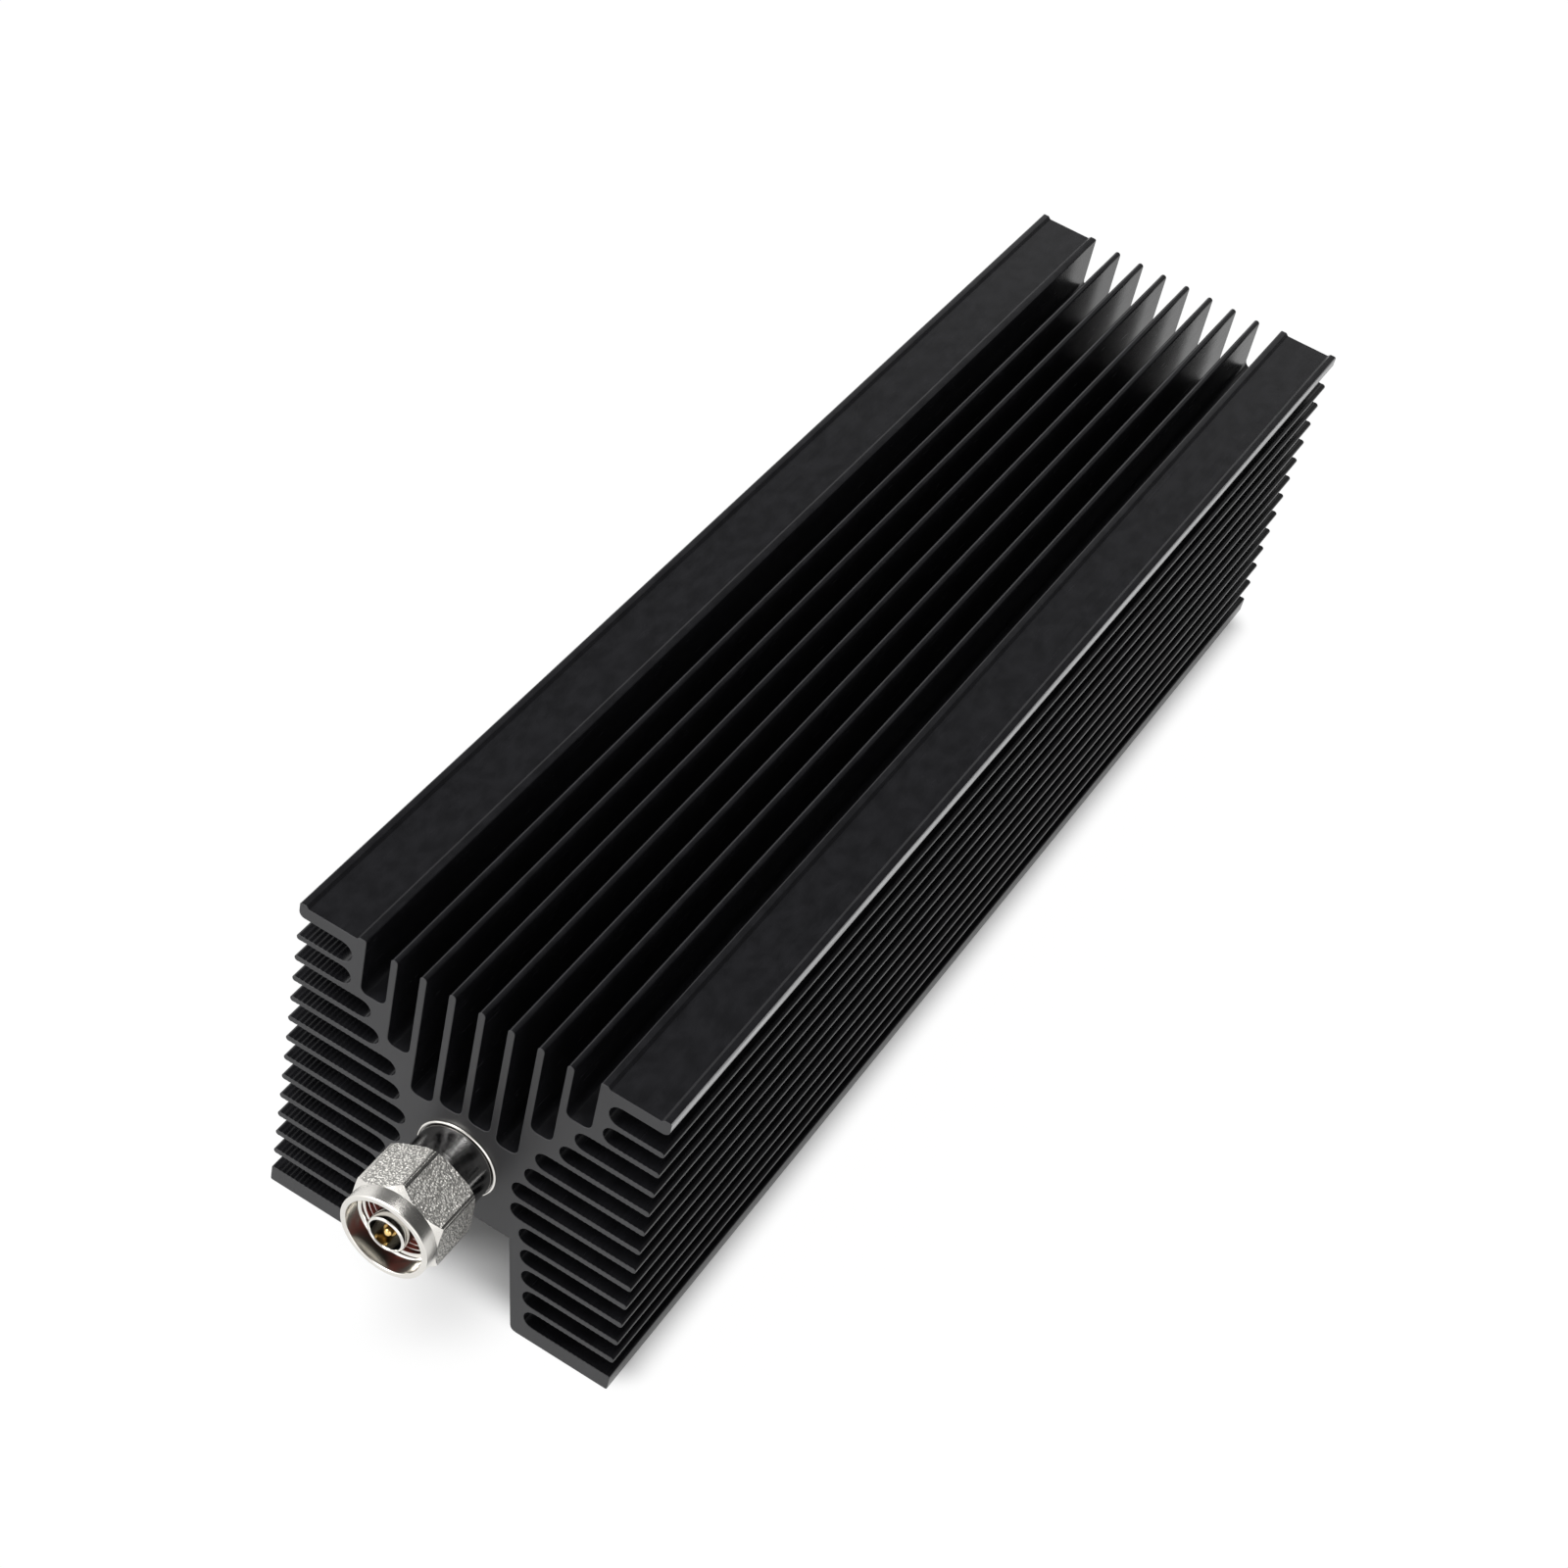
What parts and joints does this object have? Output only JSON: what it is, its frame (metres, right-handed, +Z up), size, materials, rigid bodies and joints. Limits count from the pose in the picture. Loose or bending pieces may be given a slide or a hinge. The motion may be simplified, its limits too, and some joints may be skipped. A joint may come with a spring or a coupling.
{
  "type": "coaxial attenuator",
  "caption": "Convection-cooled coaxial power attenuator: a long black finned heat sink with a screw-on coaxial plug at one end and a coaxial jack at the other.",
  "frame": {"origin": "under the middle of the whole length and width, on the plane that the feet stand on", "axes": "+X across the fins, +Y along the extrusion from the plug to the jack, +Z up"},
  "size_m": [0.077, 0.3216, 0.0782],
  "materials": {
    "anodised": "black anodised, satin",
    "nickel": "bright nickel plate",
    "steel": "plain",
    "gold": "gold plate",
    "silicone": "matte",
    "ptfe": "satin",
    "bare_aluminium": "machined",
    "ceramic": "ground"
  },
  "bodies": {
    "attenuator": {"heat_sink": "anodised", "plug_body": "nickel", "nut_snap_ring": "steel", "plug_gasket": "silicone", "plug_pin": "gold", "plug_bead": "ptfe", "plug_bush": "nickel", "carrier_upper": "bare_aluminium", "carrier_lower": "bare_aluminium", "carrier_screws": "steel", "input_card": "ceramic", "middle_card": "ceramic", "output_card": "ceramic", "input_tab": "gold", "front_link": "gold", "rear_link": "gold", "output_tab": "gold", "jack_body": "nickel", "jack_contact": "gold", "jack_bead": "ptfe", "jack_bush": "nickel"},
    "nut": {"coupling_nut": "nickel"}
  },
  "joints": [
    {"name": "nut_spin", "type": "hinge", "parent": "attenuator", "child": "nut", "pos_m": [0, -0.15355, 0.0379], "axis": [0, 1, 0], "continuous": true}
  ]
}
